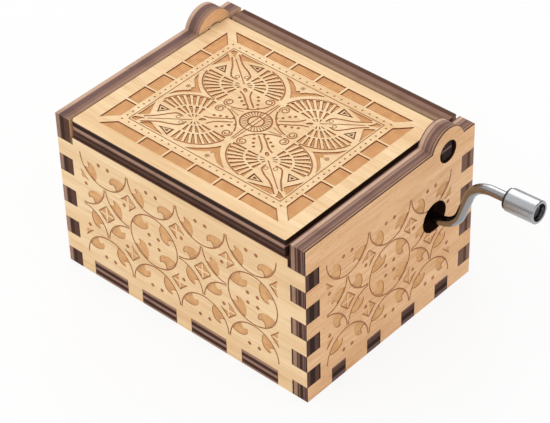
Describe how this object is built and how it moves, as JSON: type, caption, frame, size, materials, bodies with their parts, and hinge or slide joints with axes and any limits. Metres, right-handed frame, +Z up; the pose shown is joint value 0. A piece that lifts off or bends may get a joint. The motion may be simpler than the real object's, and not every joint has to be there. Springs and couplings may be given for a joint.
{
  "type": "hand cranked music box",
  "caption": "Small finger-jointed plywood music box with a hinged lid and a bent steel hand crank that turns a pinned cylinder against a tuned comb.",
  "frame": {"origin": "centre of the case's footprint, on the face that it stands on", "axes": "+X out of the crank side, -Y out of the front wall, +Z up"},
  "size_m": [0.0895, 0.05, 0.0416],
  "materials": {
    "plywood": "pale laser-cut plywood with scorched, striped edges and engraved ornament",
    "bed_metal": "cast zinc with a gold-coloured lacquer",
    "bracket_steel": "plated sheet steel",
    "comb_steel": "ground and nickel-plated tuned steel",
    "screw_steel": "bright zinc-plated steel",
    "weight_lead": "dull cast lead",
    "brass": "turned brass, polished",
    "bronze": "sintered bronze, dull",
    "shaft_steel": "turned steel",
    "crank_steel": "bright drawn steel, polished",
    "knob_steel": "satin turned steel tube"
  },
  "bodies": {
    "case": {"bottom_plate": "plywood", "front_wall": "plywood", "back_wall": "plywood", "left_wall": "plywood", "right_wall": "plywood", "bedplate": "bed_metal", "mounting_screws": "screw_steel", "comb": "comb_steel", "comb_screws": "screw_steel", "tuning_weights": "weight_lead", "front_bracket": "bracket_steel", "front_bracket_screws": "screw_steel", "crank_bracket": "bracket_steel", "crank_bracket_screws": "screw_steel", "arbor_bushes": "bronze", "crank_bushes": "bronze"},
    "lid": {"lid": "plywood"},
    "cylinder": {"melody_pins": "shaft_steel", "drum": "brass", "front_cap": "brass", "rear_cap": "brass", "cylinder_arbor": "shaft_steel", "worm_wheel": "brass"},
    "crank": {"crank_rod": "crank_steel", "worm": "brass", "crank_clip": "shaft_steel", "knob_back_washer": "knob_steel", "knob_end_washer": "crank_steel"},
    "knob": {"knob_sleeve": "knob_steel"}
  },
  "joints": [
    {"name": "lid_hinge", "type": "hinge", "parent": "case", "child": "lid", "pos_m": [0, 0.0167, 0.0361], "axis": [-1, 0, 0], "range_deg": [0, 130]},
    {"name": "crank_spin", "type": "hinge", "parent": "case", "child": "crank", "pos_m": [0.011, 0.013, 0.0221], "axis": [1, 0, 0], "continuous": true},
    {"name": "cylinder_spin", "type": "hinge", "parent": "case", "child": "cylinder", "pos_m": [0.011, 0.013, 0.0134], "axis": [0, 1, 0], "continuous": true},
    {"name": "knob_spin", "type": "hinge", "parent": "crank", "child": "knob", "pos_m": [0.05353, 0.013, 0.0361], "axis": [0.9986, 0, 0.0523], "continuous": true}
  ],
  "couplings": [
    {"joint": "cylinder_spin", "follows": "crank_spin", "ratio": -0.038462}
  ]
}
